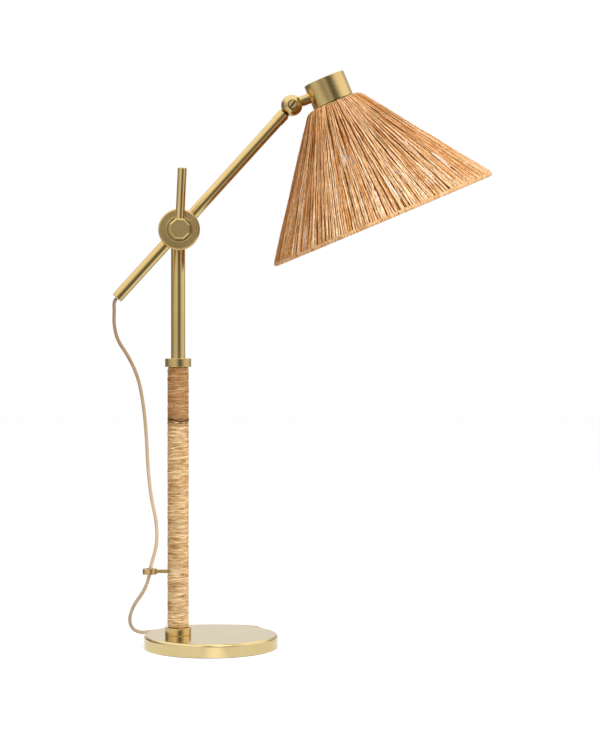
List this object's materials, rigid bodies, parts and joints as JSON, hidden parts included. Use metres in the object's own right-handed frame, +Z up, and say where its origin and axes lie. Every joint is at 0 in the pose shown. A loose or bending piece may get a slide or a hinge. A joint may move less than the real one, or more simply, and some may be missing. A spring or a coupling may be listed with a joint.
{
  "type": "desk_lamp",
  "caption": "Swing arm desk lamp: round brass base, raffia-wrapped column, counter arm in a lever-locked clamp, raffia cone shade on a knuckle, cord through a side clip.",
  "frame": {"origin": "centre of the base underside", "axes": "+Z up, +X the side that the shade reaches to, -Y the side of the lever and the screw heads"},
  "size_m": [0.4281, 0.3563, 0.6477],
  "materials": {
    "satin_brass": "satin",
    "polished_brass": "polished",
    "iron_weight": "cast",
    "felt_pad": "felt",
    "plain_steel": "zinc plated",
    "fibre": "fibre",
    "card_sleeve": "plain",
    "raffia_column": "wound strand",
    "raffia_shade": "laid strand",
    "white_liner": "matte",
    "white_wire": "painted",
    "dark_phenolic": "moulded",
    "contact_brass": "bare",
    "cord_cloth": "covered",
    "tie_plastic": "matte",
    "plug_plastic": "moulded"
  },
  "bodies": {
    "stand": {"base_shell": "polished_brass", "base_weight": "iron_weight", "base_pad": "felt_pad", "base_washer": "plain_steel", "base_nut": "plain_steel", "column_stud": "plain_steel", "base_collar": "satin_brass", "top_collar": "satin_brass", "post_tube": "satin_brass", "column_sleeve": "card_sleeve", "raffia_wrap": "raffia_column", "raffia_winding": "raffia_column", "post_head": "satin_brass", "friction_washer": "fibre", "pivot_bolt": "satin_brass", "cord_clip": "satin_brass", "cord_lead": "cord_cloth", "cord_hank": "cord_cloth", "hank_tie": "tie_plastic", "cord_tail": "cord_cloth", "plug_body": "plug_plastic", "plug_blade_left": "contact_brass", "plug_blade_right": "contact_brass"},
    "arm": {"arm_hub": "satin_brass", "front_disc": "polished_brass", "arm_upper_tube": "satin_brass", "arm_lower_tube": "satin_brass", "arm_ferrule": "satin_brass", "arm_end_bushing": "dark_phenolic", "inner_lead": "cord_cloth", "knuckle_arm_half": "satin_brass", "knuckle_washer": "plain_steel", "knuckle_screw": "polished_brass"},
    "lever": {"lever_nut": "polished_brass", "lever_rod": "polished_brass"},
    "head": {"knuckle_head_half": "satin_brass", "neck_nut": "plain_steel", "socket_cap": "satin_brass", "holder_stud": "plain_steel", "lampholder_body": "dark_phenolic", "screw_shell": "contact_brass", "centre_contact": "contact_brass", "retaining_ring": "dark_phenolic", "raffia_skin": "raffia_shade", "shade_liner": "white_liner", "rim_binding": "raffia_shade", "bottom_ring": "white_wire", "shade_spider": "white_wire"},
    "knob": {"switch_knob": "dark_phenolic"}
  },
  "joints": [
    {"name": "arm_tilt", "type": "hinge", "parent": "stand", "child": "arm", "pos_m": [-0.0369, -0.02005, 0.4685], "axis": [0, -1, 0], "range_deg": [-45, 40]},
    {"name": "lever_turn", "type": "hinge", "parent": "stand", "child": "lever", "pos_m": [-0.0369, -0.02005, 0.4685], "axis": [0, -1, 0], "range_deg": [0, 180]},
    {"name": "head_tilt", "type": "hinge", "parent": "arm", "child": "head", "pos_m": [0.08934, -0.02005, 0.60821], "axis": [0, -1, 0], "range_deg": [-28, 55]},
    {"name": "switch_turn", "type": "hinge", "parent": "head", "child": "knob", "pos_m": [0.14077, -0.02005, 0.60196], "axis": [0, -1, 0], "range_deg": [0, 90]}
  ]
}
